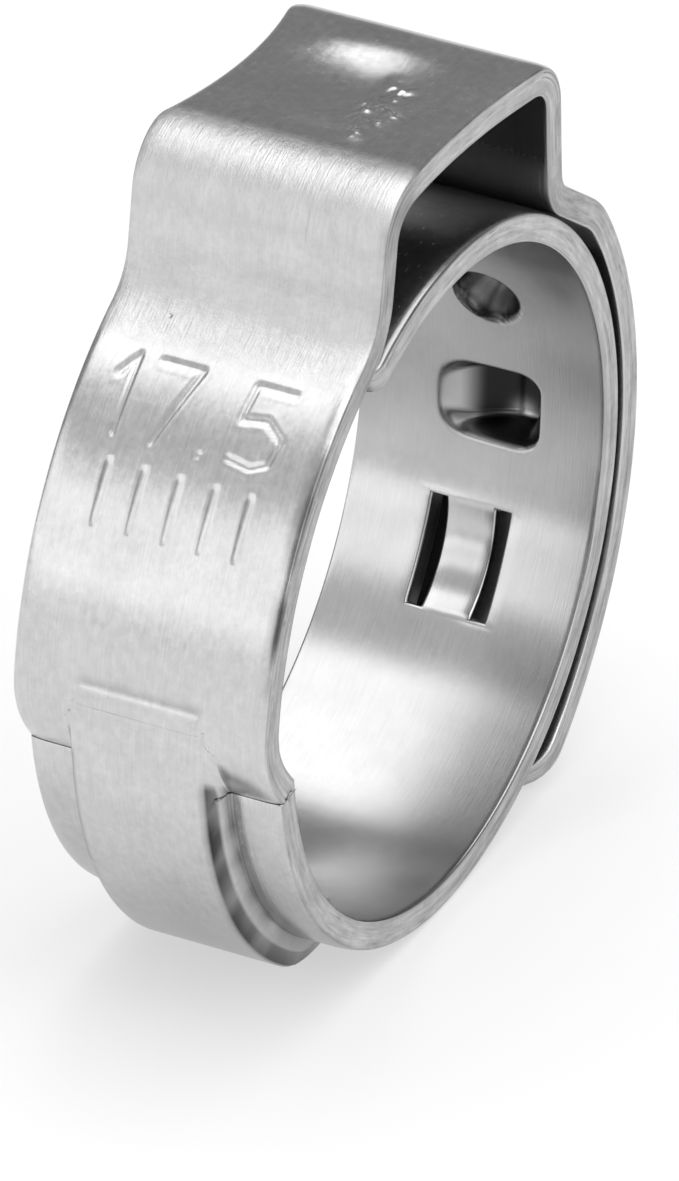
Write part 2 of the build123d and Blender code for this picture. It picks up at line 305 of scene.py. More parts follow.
# Painted shade in the drawn hook's pocket: its least, what the ramp adds and what the wall has, where these
# come in, and the place of a painted highlight, a spot left free of the shade, in millimetres and its size in
# square millimetres
DRAWN_SHADE_LEAST, DRAWN_SHADE_SLOPE, DRAWN_SHADE_WALL = 0.2, 0.76, 0.8
DRAWN_SLOPE_FADE, DRAWN_WALL_FADE = millimetres(-0.95, -0.2), millimetres(0.3, 0.65)
GLINT_X, GLINT_Y, GLINT_SIZE = 0.7, 0.65, 0.08

# The lip round a stamped stroke: its height in shares of the stroke's depth, and its place and width in
# shares of the stroke's half width
STAMP_LIP_HEIGHT, STAMP_LIP_PLACE, STAMP_LIP_WIDTH = 0.15, 1.3, 0.35

# Stamped strokes in shares of the mark's height, as (across, along, across, along)
NUMBER = (
    (-1.42, 0.72, -1.2, 1.0), (-1.2, 1.0, -1.2, 0.0),
    (-0.85, 1.0, -0.2, 1.0), (-0.2, 1.0, -0.6, 0.0),
    (0.14, 0.0, 0.15, 0.0),
    (1.25, 1.0, 0.65, 1.0), (0.65, 1.0, 0.6, 0.55), (0.6, 0.55, 0.98, 0.6), (0.98, 0.6, 1.27, 0.4),
    (1.27, 0.4, 1.2, 0.1), (1.2, 0.1, 0.95, 0.0), (0.95, 0.0, 0.57, 0.06),
)
TICKS = tuple((place, 0.0, place, 1.0) for place in (-1.5, -0.75, 0.0, 0.75, 1.5))

# The wrinkle in the ear's pan, as strokes (along, across, along, across) in millimetres from the middle
# of the ear. Then its width, the stretch of strip that it changes, and its fades at that stretch's sides
WRINKLE = (
    (1.35, 0.45, 0.8, 0.85), (0.8, 0.85, 1.0, 1.15), (0.8, 0.85, 0.2, 0.6), (0.2, 0.6, -0.4, 0.85),
    (-0.4, 0.85, -1.1, 0.8), (-1.1, 0.8, -1.6, 1.1), (-1.6, 1.1, -2.3, 1.3), (-0.5, 1.1, -0.9, 1.6),
    (-0.9, 1.6, -1.3, 1.45), (0.55, 0.75, 0.35, 1.05), (-0.1, 0.75, -0.35, 0.45), (-1.2, 0.85, -1.35, 0.5),
)
WRINKLE_WIDTH = 0.22 * MM
WRINKLE_ALONG, WRINKLE_ACROSS = millimetres(-2.9, 2.3), millimetres(-0.35, 2.5)
WRINKLE_LOW_FADE, WRINKLE_HIGH_FADE = millimetres(-0.35, 0.3), millimetres(1.9, 2.45)

# The tear in the wrinkle: noise cells per millimetre, seed and height, and how much finer and how high
# the fine noise is. Then the swell under it: its height, and its middle and width along and across in
# millimetres
TEAR_CELLS, TEAR_SEED, TEAR_HEIGHT, TEAR_FINER, TEAR_FINE_HEIGHT = 3.0, 1.3, 0.8, 2.7, 0.5
SWELL_HEIGHT, SWELL_ALONG, SWELL_ACROSS = 1.6, (-0.5, 0.9), (0.9, 0.6)


# ---------------------------------------------------------------- the line that the strip follows


def polar(angle, radius):
    """The point at this clock angle from the top and this distance from the bore's axis."""
    return Vector((radius * math.sin(angle), radius * math.cos(angle)))


def ease(value, start, end):
    """A smooth rise from 0 to 1 between start and end."""
    share = min(max((value - start) / (end - start), 0), 1)
    return share * share * (3 - 2 * share)


def crease_rise(value, start, end):
    """A rise from 0 to 1 that starts at a crease and ends smoothly."""
    share = min(max((value - start) / (end - start), 0), 1)
    return 1 - (math.sqrt(4 - 3 * share) - 1) ** 2


def bell(value, middle, width):
    """1 at the middle, falling to 0 on both sides."""
    return math.exp(-(((value - middle) / width) ** 2))


def corner_inset(radius, past):
    """How far a corner of this radius draws a side in, this far past the corner's tip."""
    short = radius - past
    return radius - math.sqrt(max(radius**2 - short**2, 0))


def square_to(run):
    """The direction square to a run, on the outer side of the strip."""
    return Vector((-run.y, run.x))


def meet_circle(start, run, centre, radius):
    """Where a run from start, going ahead, crosses a circle."""
    away = start - centre
    half = away.dot(run)
    return centre + away + run * (math.sqrt(half * half - away.length_squared + radius**2) - half)


def circle_through(a, b, c):
    """Centre and radius of the circle through three points."""
    ab, ac = b - a, c - a
    twice = 2 * (ab.x * ac.y - ab.y * ac.x)
    x = (ac.y * ab.length_squared - ab.y * ac.length_squared) / twice
    y = (ab.x * ac.length_squared - ac.x * ab.length_squared) / twice
    return a + Vector((x, y)), math.hypot(x, y)


class Arc:
    """A round stretch of the strip; outward is 1 where its centre lies on the bore side, else -1."""

    def __init__(self, centre, radius, first, last, outward):
        self.centre, self.radius, self.outward = centre, radius, outward
        self.start = math.atan2(first.x - centre.x, first.y - centre.y)
        sweep = math.atan2(last.x - centre.x, last.y - centre.y) - self.start
        self.sweep = outward * ((outward * sweep) % math.tau)
        self.length = abs(self.sweep) * radius

    def at(self, distance):
        """Point and outward normal this far along."""
        ray = polar(self.start + self.sweep * distance / self.length, 1)
        return self.centre + ray * self.radius, ray * self.outward


class Straight:
    """A straight stretch of the strip."""

    def __init__(self, first, last):
        self.first, self.run = first, (last - first).normalized()
        self.length = (last - first).length

    def at(self, distance):
        """Point and outward normal this far along."""
        return self.first + self.run * distance, square_to(self.run)


class StripLine:
    """The bore-side face of the folded strip, from the tongue's tip to the free end."""

    def __init__(self, sizes):
        self.sizes = sizes
        self.lap_level = sizes.bore_radius + sizes.strip_thickness + sizes.lap_gap
        inner_face = sizes.bore_radius + sizes.strip_thickness
        self.lap_centre, self.lap_radius = circle_through(
            polar(sizes.lap_rise_angle, inner_face + sizes.lap_gap_at_rise),
            polar(sizes.lap_side_angle, inner_face + sizes.lap_gap_at_side),
            polar(sizes.free_end_angle, inner_face + sizes.lap_gap_at_end),
        )
        half = sizes.ear_top_width / 2
        ceiling = sizes.bore_radius + sizes.ear_height
        left_top, right_top = Vector((-half, ceiling)), Vector((half, ceiling))
        left_foot = polar(-sizes.ear_foot_angle, self.lap_level)
        right_foot = polar(sizes.lap_foot_angle, inner_face + sizes.lap_foot_lift)
        rise_end = self.lap_point(sizes.lap_rise_angle)
        landing = self.landing(left_foot, left_top, sizes.ear_foot_radius + sizes.strip_thickness)
        bend = sizes.ear_bend_radius
        left_bend = self.fold(left_foot, left_top, right_top, bend)
        right_bend = self.fold(left_top, right_top, right_foot, bend)
        foot = sizes.lap_foot_radius + sizes.strip_thickness
        pinch = self.fold(right_top, right_foot, rise_end, foot)
        settle = self.settle(right_foot, rise_end, sizes.lap_rise_radius)
        lap_end = self.lap_point(sizes.free_end_angle)
        bends = [landing, left_bend, right_bend, pinch, settle]
        self.stretches = [landing]
        for before, after in zip(bends, bends[1:]):
            self.stretches.append(Straight(before.at(before.length)[0], after.at(0)[0]))
            self.stretches.append(after)
        lap_start = settle.at(settle.length)[0]
        self.stretches.append(Arc(self.lap_centre, self.lap_radius, lap_start, lap_end, 1))
        first = landing.at(0)[0]
        self.ring_end = math.tau + math.atan2(first.x, first.y)
        self.starts = [self.run_at(self.ring_end)]
        for stretch in self.stretches:
            self.starts.append(self.starts[-1] + stretch.length)

    def landing(self, foot, top, radius):
        """The bend in which the ring turns up into the ear's leg."""
        run = (top - foot).normalized()
        start = top + square_to(run) * radius
        centre = meet_circle(start, run, Vector((0, 0)), self.lap_level + radius)
        on_leg = centre - square_to(run) * radius
        return Arc(centre, radius, centre.normalized() * self.lap_level, on_leg, -1)

    def fold(self, before, corner, after, radius):
        """The bend that rounds the corner between two straight runs."""
        run_in, run_out = (corner - before).normalized(), (after - corner).normalized()
        turn = math.atan2(run_in.x * run_out.y - run_in.y * run_out.x, run_in.dot(run_out))
        reach_back = radius * math.tan(abs(turn) / 2)
        first, last = corner - run_in * reach_back, corner + run_out * reach_back
        outward = -1 if turn > 0 else 1
        centre = first - square_to(run_in) * radius * outward
        return Arc(centre, radius, first, last, outward)

    def settle(self, foot, corner, radius):
        """The bend that eases the lap's rise into its arc."""
        run = (corner - foot).normalized()
        start = corner - square_to(run) * radius
        centre = meet_circle(start, run, self.lap_centre, self.lap_radius - radius)
        last = self.lap_centre + (centre - self.lap_centre).normalized() * self.lap_radius
        return Arc(centre, radius, centre + square_to(run) * radius, last, 1)

    def lap_point(self, angle):
        """The bore-side point of the lap at this clock angle."""
        ray = polar(angle, self.lap_level) - self.lap_centre
        return self.lap_centre + ray.normalized() * self.lap_radius

    def run_at(self, angle):
        """Distance along the strip of a clock angle on the ring."""
        return angle * self.sizes.bore_radius

    def lap_run_at(self, angle):
        """Distance along the strip of a clock angle on the lap."""
        lap = self.stretches[-1]
        point = polar(angle, self.lap_level) - self.lap_centre
        return self.starts[-2] + (math.atan2(point.x, point.y) - lap.start) * lap.radius

    def ring_level(self, angle, roof_share):
        """Radius of the bore-side face on the ring; roof_share is 1 on the groove's roof, else 0."""
        sizes = self.sizes
        side = crease_rise(angle, sizes.side_step_start, sizes.side_step_end)
        roof = ease(angle, sizes.groove_ramp_start, sizes.groove_ramp_end)
        rise = side + (roof - side) * roof_share
        return sizes.bore_radius + rise * (self.lap_level - sizes.bore_radius)

    def follow(self, run, roof_share):
        """Point and outward normal at this distance along the strip."""
        angle = run / self.sizes.bore_radius
        if angle < self.ring_end:
            level = self.ring_level(angle, roof_share)
            step = 1e-4
            slope = (self.ring_level(angle + step, roof_share) - level) / step
            along = Vector((math.cos(angle), -math.sin(angle)))
            normal = (polar(angle, level) - along * slope).normalized()
            return polar(angle, level), normal
        for stretch, start, end in zip(self.stretches, self.starts, self.starts[1:]):
            if run <= end or stretch is self.stretches[-1]:
                return stretch.at(run - start)

    def standing_lean(self):
        """How far the ear leans when the clamp stands on its round and on its free end's tip."""
        sizes = self.sizes
        ray = self.lap_point(sizes.free_end_angle) - self.lap_centre
        tip = self.lap_centre + ray.normalized() * (self.lap_radius + sizes.strip_thickness)
        reach = math.acos((sizes.bore_radius + sizes.strip_thickness) / tip.length)
        return math.atan2(tip.x, tip.y) + reach - math.pi


# ---------------------------------------------------------------- flat outlines of hooks and windows


def rounded_box(length, width, radius, tail_radius=None):
    """Signed distance to a rounded rectangle; tail_radius rounds the corners at its far end."""

    def distance(x, y):
        corner = radius if x < 0 or tail_radius is None else tail_radius
        dx = abs(x) - length / 2 + corner
        dy = abs(y) - width / 2 + corner
        return math.hypot(max(dx, 0), max(dy, 0)) + min(max(dx, dy), 0) - corner

    return distance


def disc(diameter):
    """Signed distance to a round outline."""
    return lambda x, y: math.hypot(x, y) - diameter / 2


def reach(outline, inset, direction):
    """How far an outline, drawn in by inset, lies from its middle in this direction."""
    near, far = 0.0, REACH_MOST
    for _ in range(REACH_HALVINGS):
        middle = (near + far) / 2
        if outline(middle * math.cos(direction), middle * math.sin(direction)) < -inset:
            near = middle
        else:
            far = middle
    return near


def stroke_distance(x, y, strokes):
    """Distance to the nearest of some straight strokes, each as (x, y, x, y)."""
    nearest = math.inf
    for x0, y0, x1, y1 in strokes:
        run_x, run_y = x1 - x0, y1 - y0
        share = ((x - x0) * run_x + (y - y0) * run_y) / max(run_x * run_x + run_y * run_y, TINY)
        share = min(max(share, 0), 1)
        nearest = min(nearest, math.hypot(x - x0 - run_x * share, y - y0 - run_y * share))
    return nearest


def soft_wall(distance, start, end):
    """1 deep inside an outline and 0 outside it, with a rounded rim and foot between."""
    return 1 - ease(distance, end, start)


# ---------------------------------------------------------------- the sheet that becomes the strip


class Sheet:
    """A grid of cells on the strip, given both faces, walls, hooks and windows."""

    def __init__(self, sizes):
        self.sizes = sizes
        self.line = StripLine(sizes)
        self.half_width = sizes.strip_width / 2
        self.half_tongue = sizes.tongue_width / 2
        self.groove_half = self.half_tongue + sizes.groove_clearance
        self.roof_half = self.groove_half + sizes.groove_wall_land
        self.ear_middle = (self.line.starts[3] + self.line.starts[4]) / 2
        self.points = []
        self.places = []
        self.painted_shading = []
        self.faces = []
        self.face_kinds = []
        self.corners = {}
        self.between = {}
        self.absent = set()
        self.covered = {OUTER: set(), BORE: set()}
        self.runs = self.run_lines()
        self.acrosses = self.across_lines()

    # The grid's lines

    def run_lines(self):
        """Distances along the strip at which the grid has a line."""
        sizes, line = self.sizes, self.line
        ring = line.run_at
        bridge = ring(sizes.bridge_angle)
        half = sizes.bridge_length / 2
        crown = sizes.bridge_crown / 2
        first, last = ring(sizes.tongue_tip_angle), line.starts[-1] - sizes.free_end_radius
        shoulder = ring(sizes.shoulder_angle)
        turns = [k * math.pi / 2 / CORNER_STEPS for k in range(CORNER_STEPS + 1)]
        lines = [first + sizes.tongue_tip_radius * (1 - math.cos(turn)) for turn in turns]
        # Each stop, with the step in millimetres that leads up to it
        stops = [
            (shoulder, 0.35),
            (shoulder + sizes.shoulder_radius, 0.08),
            (bridge - half - sizes.hook_wall, 0.3),
            (bridge - half, 0.13),
            (bridge - crown, 0.13),
            (bridge + crown, 0.2),
            (bridge + half, 0.13),
            (bridge + half + sizes.hook_wall, 0.13),
            (ring(sizes.groove_ramp_start), 0.3),
            (ring(sizes.groove_ramp_end), 0.15),
            (ring(sizes.side_step_start), 0.25),
            (ring(sizes.side_step_end), 0.12),
            (ring(sizes.roof_lip_angle) - LIP_LINE, 0.25),
            (ring(sizes.roof_lip_angle), 0.1),
            *zip(line.starts, (0.2, 0.12, 0.22, 0.08, 0.22, 0.08, 0.22, 0.1, 0.2, 0.12)),
            (last, 0.25),
        ]
        for stop, step in stops:
            start = lines[-1]
            count = max(1, round((stop - start) / (step * MM)))
            lines += [start + (stop - start) * k / count for k in range(1, count + 1)]
        start = lines[-1]
        return lines + [start + sizes.free_end_radius * math.sin(turn) for turn in turns[1:]]

    def across_lines(self):
        """Distances from the middle of the width at which the grid has a line."""
        sizes = self.sizes
        strap = sizes.bridge_width / 2
        half = [
            strap / 2,
            strap,
            strap + sizes.bridge_slit,
            self.half_tongue,
            self.groove_half - 3 * HAIR,
            self.groove_half,
            *(self.roof_half + sizes.groove_wall_spread * share for share, _ in WALL_STEPS),
            *RIM_LINES,
            self.half_width,
        ]
        return [-value for value in reversed(half)] + [0.0] + half

    def nearest_run(self, run):
        """Number of the grid line nearest this distance along the strip."""
        return min(range(len(self.runs)), key=lambda i: abs(self.runs[i] - run))

    def nearest_across(self, across):
        """Number of the grid line nearest this distance from the middle."""
        return min(range(len(self.acrosses)), key=lambda j: abs(self.acrosses[j] - across))

    # Where a spot of the sheet lies

    def roof_share(self, across, side):
        """1 on the groove's roof, 0 on the side strips and between the two on the groove's walls."""
        if side == BORE:
            return 1.0 if abs(across) < self.groove_half - HAIR else 0.0
        spread = (abs(across) - self.roof_half) / self.sizes.groove_wall_spread
        if spread <= 0:
            return 1.0
        for (start, high), (end, low) in zip(WALL_STEPS, WALL_STEPS[1:]):
            if spread <= end:
                return high + (low - high) * (spread - start) / (end - start)
        return 0.0

    def half_at(self, run, across):
        """Half the strip's width on one side: less at rounded corners and at the ear's waist."""
        sizes, line = self.sizes, self.line
        half = self.half_width
        from_shoulder = run - line.run_at(sizes.shoulder_angle)
        if 0 <= from_shoulder < sizes.shoulder_radius:
            half -= corner_inset(sizes.shoulder_radius, from_shoulder)
        to_end = line.starts[-1] - run
        if to_end < sizes.free_end_radius:
            half -= corner_inset(sizes.free_end_radius, max(to_end, 0))
        from_ear = abs(run - self.ear_middle) / (sizes.ear_waist_length / 2)
        if from_ear < 1:
            half -= (sizes.near_waist_depth if across > 0 else sizes.far_waist_depth) * (1 - from_ear**2)
        return half

    def tongue_share(self, run):
        """The tongue's width near its rounded tip, as a share of its full width."""
        sizes = self.sizes
        from_tip = run - self.line.run_at(sizes.tongue_tip_angle)
        if from_tip >= sizes.tongue_tip_radius:
            return 1.0
        return 1 - corner_inset(sizes.tongue_tip_radius, max(from_tip, 0)) / self.half_tongue

    def across_at(self, run, across):
        """Where a line across the strip lies once corners and waist have drawn it in."""
        if abs(across) <= self.half_tongue:
            return across * self.tongue_share(run)
        spare = self.half_width - self.half_tongue
        share = (abs(across) - self.half_tongue) / spare
        drawn = self.half_tongue + share * (self.half_at(run, across) - self.half_tongue)
        return math.copysign(drawn, across)

    def dimple(self, run, across):
        """Depth of the pan in the ear's top."""
        sizes = self.sizes
        middle = self.ear_middle + sizes.dimple_shift
        radius = sizes.dimple_length / 2
        stretch = -PAN_SHORTENING if run > middle else 1
        reach_along = radius + stretch * sizes.dimple_shift
        away = math.hypot((run - middle) / reach_along, (across + PAN_OFFSET) / radius)
        return sizes.dimple_depth * (1 - away * away) ** PAN_FALL if away < 1 else 0.0

    def roof_lift(self, run, across):
        """The swell of the groove's roof, which ends in a fine lip on the marked side."""
        sizes = self.sizes
        if not sizes.groove_ramp_end < run / sizes.bore_radius < sizes.roof_lip_angle:
            return 0.0
        inner, outer = ROOF_WALL_FADE
        side = 1 - ease(abs(across), self.roof_half + inner, self.roof_half + outer)
        below = sizes.roof_lip_angle * sizes.bore_radius - run
        rise = 1 - math.exp(-below / ROOF_LIP_RISE)
        return sizes.roof_swell * side * rise * (1 - ease(below, *ROOF_SWELL_FADE))

    def rollover(self, run, across):
        """How far the outer face falls away at its sheared edges."""
        sizes = self.sizes
        inside = self.half_at(run, across) - abs(self.across_at(run, across))
        short = 1 - min(max(inside / sizes.edge_drop_width, 0), 1)
        return sizes.edge_drop * short * short

    def strap_lift(self, run, across, side):
        """How far the bridge's strap is pushed out of the strip."""
        sizes = self.sizes
        if abs(across) > sizes.bridge_width / 2 + HAIR:
            return 0.0
        away = abs(run - self.line.run_at(sizes.bridge_angle))
        foot = sizes.bridge_length / 2
        crown = sizes.bridge_crown / 2
        if side == OUTER:
            foot += sizes.hook_wall
            crown += sizes.hook_wall / 2
            return sizes.hook_rise * min(max((foot - away) / (foot - crown), 0), 1)
        share = min(away / foot, 1)
        return sizes.strap_sink * (1 - share * share)

    def waves(self, run, across):
        """The faint unevenness that folding leaves in the strip."""
        height = 0.0
        for along, sideways, seed, share in WAVES:
            height += share * noise.noise(Vector((run / MM * along, across / MM * sideways, seed)))
        return self.sizes.unevenness * height

    def place(self, run, across, side, lift=0.0):
        """The spot in space of a place on one face, lifted off it."""
        point, normal = self.line.follow(run, self.roof_share(across, side))
        height = lift + self.waves(run, across) - self.dimple(run, across)
        height += self.strap_lift(run, across, side)
        if side == OUTER:
            height += self.sizes.strip_thickness + self.roof_lift(run, across) - self.rollover(run, across)
        spot = point + normal * height
        return Vector((spot.x, spot.y, self.across_at(run, across)))

    # Points and faces

    def shade(self, run, across, side):
        """How much painted shade darkens the steel's colour at a place of the plain strip."""
        line = self.line
        angle = run / self.sizes.bore_radius
        if side == BORE and run > line.starts[0]:
            return HOLLOW_SHADE * ease(run, line.starts[0], line.starts[1]) * (run < line.starts[7])
        if side == BORE:
            upper = BORE_TOP_SHADE * (1 - ease(angle, *BORE_TOP_FADE))
            near = BORE_NEAR_SHADE * ease(angle, *BORE_NEAR_FADE) * ease(across, *BORE_NEAR_ACROSS)
            return upper + near
        if run < line.run_at(HIDDEN_RUN_END):
            return HOLLOW_SHADE
        if run < line.starts[0]:
            under = UNDERSIDE_SHADE * (1 - ease(angle, *UNDERSIDE_FADE))
            return max(under, self.groove_wall_painted_shade(run, across), self.near_edge_painted_shade(run, across), self.crease(run, across))
        return 0.0

    def crease(self, run, across):
        """How much painted shade darkens the fine crease above the roof's lip."""
        sizes = self.sizes
        above = run - sizes.roof_lip_angle * sizes.bore_radius
        side = 1 - ease(abs(across), self.roof_half - CREASE_FADE, self.roof_half)
        return CREASE_SHADE * bell(above, CREASE_PLACE, CREASE_WIDTH) * side

    def near_edge_painted_shade(self, run, across):
        """How much painted shade darkens the near edge of the marked side, in patches."""
        angle = run / self.sizes.bore_radius
        wear_and_edge_shade = ease(angle, *NEAR_EDGE_START) * (1 - ease(angle, *NEAR_EDGE_END))
        base, height, pitch = NEAR_EDGE_PATCHES
        patchy = base + height * noise.noise(Vector((run / MM * pitch, *NEAR_EDGE_SEED)))
        return NEAR_EDGE_SHADE * wear_and_edge_shade * min(max(patchy, 0), 1) * ease(across, *NEAR_EDGE_RIM)

    def groove_wall_painted_shade(self, run, across):
        """How much painted shade darkens the torn wall beside the groove: dark rim and foot, a brighter line
        between.
        """
        sizes = self.sizes
        angle = run / sizes.bore_radius
        share = (abs(across) - self.roof_half) / sizes.groove_wall_spread
        if not WALL_SHADE_SPAN[0] < share < WALL_SHADE_SPAN[1]:
            return 0.0
        cells = run / MM * WALL_SHADE_CELLS[0], across / MM * WALL_SHADE_CELLS[1]
        shade_breakup = 1 + WALL_SHADE_NOISE * noise.noise(Vector((*cells, WALL_SHADE_SEED)))
        dark = sum(most * bell(share, middle, width) for middle, width, most in (WALL_SHADE_RIM, WALL_SHADE_FOOT))
        along = ease(angle, sizes.groove_ramp_start, sizes.groove_ramp_end) * (1 - ease(angle, *WALL_SHADE_END))
        return along * min(max(dark * shade_breakup, 0), WALL_SHADE_MOST)

    def working(self, run):
        """How strongly the strip was worked at a place: 1 in a bend, 0 away from the bends."""
        starts = self.line.starts
        bends = ((starts[0], starts[1]), (starts[2], starts[3]), (starts[6], starts[9]))
        away = min(max(first - run, run - last, 0) for first, last in bends)
        on_top = starts[3] < run < starts[4]
        return 1 - ease(away, *(TOP_WORKED_FADE if on_top else WORKED_FADE))

    def keep_point(self, spot, run, across, painted_shade):
        """Keeps a point of the mesh with its place on the strip and its painted shade."""
        self.points.append(spot)
        self.places.append((run, across))
        self.painted_shading.append(painted_shade)
        return len(self.points) - 1

    def add_point(self, run, across, side, lift=0.0, painted_shade=0.0):
        """A new point of the mesh, by its place on the sheet."""
        spot = self.place(run, across, side, lift)
        return self.keep_point(spot, run, across, max(painted_shade, self.shade(run, across, side)))

    def corner(self, i, j, side):
        """The point where two grid lines cross, made when it's first asked for."""
        key = (i, j, side)
        if key not in self.corners:
            self.corners[key] = self.add_point(self.runs[i], self.acrosses[j], side)
        return self.corners[key]

    def add_face(self, numbers, kind):
        """A face of one of the three kinds: outer, bore side or sheared."""
        self.faces.append(numbers)
        self.face_kinds.append(kind)

    def block(self, first_run, last_run, first_across, last_across):
        """The cells between the grid lines nearest these."""
        return (
            self.nearest_run(first_run),
            self.nearest_run(last_run),
            self.nearest_across(first_across),
            self.nearest_across(last_across),
        )

    def cells(self, block):
        """The cells of a block."""
        i0, i1, j0, j1 = block
        return itertools.product(range(i0, i1), range(j0, j1))

    def cells_left(self):
        """The grid's cells that the strip has."""
        everywhere = self.cells((0, len(self.runs) - 1, 0, len(self.acrosses) - 1))
        return [cell for cell in everywhere if cell not in self.absent]

    def cover(self, block, side):
        """Keeps plain cells out of a block that gets its own faces."""
        self.covered[side].update(self.cells(block))

    def border(self, block):
        """The grid crossings round a block, in order."""
        i0, i1, j0, j1 = block
        loop = [(i0, j) for j in range(j0, j1)]
        loop += [(i, j1) for i in range(i0, i1)]
        loop += [(i1, j) for j in range(j1, j0, -1)]
        loop += [(i, j0) for i in range(i1, i0, -1)]
        return loop

    def fine_lines(self, lines, first, last, step):
        """Grid lines with finer ones between, each with its number in the grid or None."""
        fine = []
        for k in range(first, last):
            gap = lines[k + 1] - lines[k]
            count = max(1, round(gap / step))
            fine.append((lines[k], k))
            fine += [(lines[k] + gap * n / count, None) for n in range(1, count)]
        return fine + [(lines[last], last)]

    def relief(self, block, side, step, lift, painted_shade=None):
        """A block of finer cells, lifted by a relief that has faded out at the block's border."""
        i0, i1, j0, j1 = block
        self.cover(block, side)
        runs = self.fine_lines(self.runs, i0, i1, step)
        acrosses = self.fine_lines(self.acrosses, j0, j1, step)
        rows = []
        for a, (run, i) in enumerate(runs):
            row = []
            for b, (across, j) in enumerate(acrosses):
                border = a in (0, len(runs) - 1) or b in (0, len(acrosses) - 1)
                if border and i is not None and j is not None:
                    row.append(self.corner(i, j, side))
                else:
                    lifted = 0.0 if border else lift(run, across)
                    shaded = painted_shade(run, across) if painted_shade and not border else 0.0
                    row.append(self.add_point(run, across, side, lifted, shaded))
            rows.append(row)
        for first, second in zip(rows, rows[1:]):
            for b in range(len(acrosses) - 1):
                self.add_face([first[b], first[b + 1], second[b + 1], second[b]], side)
        for i, row in ((i0, rows[0]), (i1, rows[-1])):
            self.share_border(row, acrosses, lambda j, i=i: (i, j, "across", side))
        for j, b in ((j0, 0), (j1, -1)):
            self.share_border([row[b] for row in rows], runs, lambda i, j=j: (i, j, "run", side))

    def share_border(self, numbers, lines, key):
        """Lets the neighbours of a fine block use the points on its border."""
        for number, (_, k) in zip(numbers, lines):
            if k is None:
                between.append(number)
            else:
                between = self.between.setdefault(key(k), [])

    def ring_between(self, first, second, kind):
        """Faces between two loops with as many points."""
        count = len(first)
        for k in range(count):
            after = (k + 1) % count
            self.add_face([first[k], first[after], second[after], second[k]], kind)

    def patch(self, block, side, middle, rings):
        """Loops drawn from a block's border to an outline and on into its form.

        middle is the outline's (run, across). Each ring is (outline, inset, lift), with lift a
        function of the distance along and across from the middle. Returns the last loop.
        """
        self.cover(block, side)
        run0, across0 = middle
        border = self.border(block)
        spots = [(self.runs[i] - run0, self.acrosses[j] - across0) for i, j in border]
        loop = [self.corner(i, j, side) for i, j in border]
        turns = [math.atan2(y, x) for x, y in spots]
        outline, inset, _ = rings[0]
        edge = [(math.cos(turn), math.sin(turn), reach(outline, inset, turn)) for turn in turns]
        for share in LOOP_SHARES:
            added = []
            for (x, y), (cosine, sine, far) in zip(spots, edge):
                run = run0 + x + (far * cosine - x) * share
                added.append(self.add_point(run, across0 + y + (far * sine - y) * share, side))
            self.ring_between(loop, added, side)
            loop = added
        for outline, inset, lift in rings:
            added = []
            for turn in turns:
                far = reach(outline, inset, turn)
                x, y = far * math.cos(turn), far * math.sin(turn)
                added.append(self.add_point(run0 + x, across0 + y, side, lift(x, y)))
            self.ring_between(loop, added, side)
            loop = added
        return loop

    def cap(self, loop, side, middle, lift):
        """Closes a loop with a fan round its middle."""
        centre = self.add_point(middle[0], middle[1], side, lift(0, 0))
        for k, number in enumerate(loop):
            self.add_face([number, loop[(k + 1) % len(loop)], centre], side)

    # The sub-forms

    def window(self, angle, offset, length, width):
        """A window in the lap, slack on the ear side of its hook."""
        sizes = self.sizes
        long = length + sizes.window_slack + sizes.window_clearance
        shift = (sizes.window_clearance - sizes.window_slack) / 2
        run = self.line.lap_run_at(angle) + shift
        wide = width + 2 * sizes.window_clearance
        outline = rounded_box(long, wide, sizes.window_radius)
        block = self.block(
            run - long / 2 - WINDOW_ROOM,
            run + long / 2 + WINDOW_ROOM,
            offset - wide / 2 - WINDOW_ROOM,
            offset + wide / 2 + WINDOW_ROOM,
        )
        rings = [(outline, 0.0, lambda x, y: 0.0)]
        outer, bore = (self.patch(block, side, (run, offset), rings) for side in (OUTER, BORE))
        self.ring_between(outer, bore, SHEARED)

    def pocket(self, block, middle, depth, painted_shading):
        """The pocket behind a hook; both functions take distances from the hook's middle."""
        run0, across0 = middle
        self.relief(
            block, BORE, POCKET_STEP, lambda run, across: depth(run - run0, across - across0),
            lambda run, across: painted_shading(run - run0, across - across0),
        )

    def boss(self):
        """The round boss and the pocket behind it."""
        sizes = self.sizes
        rise, fillet, draft = sizes.hook_rise, sizes.hook_fillet, sizes.hook_draft
        depth = sizes.strip_thickness + rise - sizes.hook_wall - fillet
        outer = disc(sizes.boss_bore + 2 * sizes.hook_wall)
        # Inset and height of each ring, from the foot up
        profile = [
            (0.0, 0.0),
            (draft * 0.8, rise - fillet),
            (draft + fillet * 0.3, rise - fillet * 0.3),
            (draft + fillet, rise),
            (draft + 3 * fillet, rise),
        ]
        rings = [(outer, inset, lambda x, y, height=height: height) for inset, height in profile]
        opening = disc(sizes.boss_bore)
        start, end = (share * sizes.pocket_round for share in BOSS_POCKET_RIM)

        # Painted shade: a dark ring just inside the rim of the boss's pocket.
        def painted_shading(x, y):
            inside = opening(x, y)
            return BOSS_RIM_SHADE * ease(inside, *BOSS_RIM_RISE) * (1 - ease(inside, *BOSS_RIM_FALL))

        middle = run, across = self.line.run_at(sizes.boss_angle), sizes.boss_offset
        block = self.block(run - BOSS_ROOM, run + BOSS_ROOM, across - BOSS_ROOM, across + BOSS_ROOM)
        loop = self.patch(block, OUTER, middle, rings)
        self.cap(loop, OUTER, middle, rings[-1][2])
        self.pocket(block, middle, lambda x, y: depth * soft_wall(opening(x, y), start, end), painted_shading)

